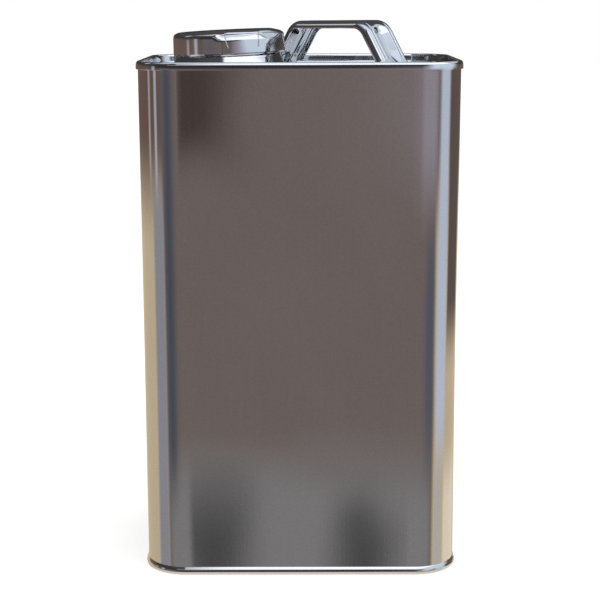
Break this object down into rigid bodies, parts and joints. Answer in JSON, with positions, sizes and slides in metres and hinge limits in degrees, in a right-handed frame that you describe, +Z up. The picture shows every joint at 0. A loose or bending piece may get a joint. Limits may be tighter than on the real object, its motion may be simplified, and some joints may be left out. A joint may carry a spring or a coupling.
{
  "type": "oblong tin can",
  "caption": "Upright oblong tinplate oil can with double-seamed ends, a strap handle set diagonally and a pull-up pouring spout under a crimped tinplate overcap.",
  "frame": {"origin": "bottom centre of the can, on the surface it stands on", "axes": "+Z up, +X to the right seen from the front, the plain front panel faces -Y"},
  "size_m": [0.1702, 0.1202, 0.2942],
  "materials": {
    "tinplate_body": "semi-bright tinplate with fine vertical rolling lines",
    "tinplate_end": "semi-bright tinplate",
    "tinplate_cap": "bright drawn tinplate",
    "handle_steel": "bright pressed tinplate",
    "sealing_compound": "cured seam compound",
    "gasket_rubber": "soft seal",
    "white_polyethylene": "moulded polyethylene",
    "soft_polyethylene": "thin flexible polyethylene",
    "liner_foam": "foamed liner"
  },
  "bodies": {
    "can": {"can_body": "tinplate_body", "side_weld": "tinplate_body", "top_end": "tinplate_end", "bottom_end": "tinplate_end", "top_seam_compound": "sealing_compound", "bottom_seam_compound": "sealing_compound", "neck_gasket": "gasket_rubber", "spout_base": "white_polyethylene", "spout_crimp_ring": "tinplate_end", "spout_bellows": "soft_polyethylene", "handle_strap": "handle_steel", "handle_spot_welds": "handle_steel"},
    "overcap": {"capseal": "tinplate_cap"},
    "tab": {"tear_tab": "tinplate_cap"},
    "spout": {"spout_mouth": "white_polyethylene"},
    "liner": {"cap_liner": "liner_foam"},
    "cap": {"screw_cap": "white_polyethylene"},
    "front_bail": {"front_pull_bail": "white_polyethylene"},
    "rear_bail": {"rear_pull_bail": "white_polyethylene"}
  },
  "joints": [
    {"name": "capseal_lift", "type": "slide", "parent": "can", "child": "overcap", "axis": [0, 0, 1], "range_m": [0, 0.11]},
    {"name": "tear_tab_fold", "type": "hinge", "parent": "overcap", "child": "tab", "pos_m": [-0.03841, 0.0308, 0.2773], "axis": [-0.999, 0, -0.0436], "range_deg": [0, 110]},
    {"name": "spout_pull", "type": "slide", "parent": "can", "child": "spout", "axis": [0, 0, 1], "range_m": [0, 0.026], "deforming": ["spout_bellows"]},
    {"name": "cap_lift", "type": "slide", "parent": "spout", "child": "liner", "axis": [0, 0, 1], "range_m": [0, 0.018]},
    {"name": "cap_turn", "type": "hinge", "parent": "liner", "child": "cap", "pos_m": [-0.0385, 0, 0.2835], "axis": [0, 0, 1], "range_deg": [0, 810]},
    {"name": "front_bail_fold", "type": "hinge", "parent": "cap", "child": "front_bail", "pos_m": [-0.0385, -0.0013, 0.28602], "axis": [-1, 0, 0], "range_deg": [0, 90]},
    {"name": "rear_bail_fold", "type": "hinge", "parent": "cap", "child": "rear_bail", "pos_m": [-0.0385, 0.0013, 0.28602], "axis": [1, 0, 0], "range_deg": [0, 90]}
  ],
  "couplings": [
    {"joint": "spout_pull", "follows": "capseal_lift", "ratio": 0.2363},
    {"joint": "cap_lift", "follows": "capseal_lift", "ratio": 0.1636},
    {"joint": "cap_turn", "follows": "capseal_lift", "rad_per_m": 128.49},
    {"joint": "front_bail_fold", "follows": "capseal_lift", "rad_per_m": 14.27},
    {"joint": "rear_bail_fold", "follows": "capseal_lift", "rad_per_m": 14.27}
  ]
}
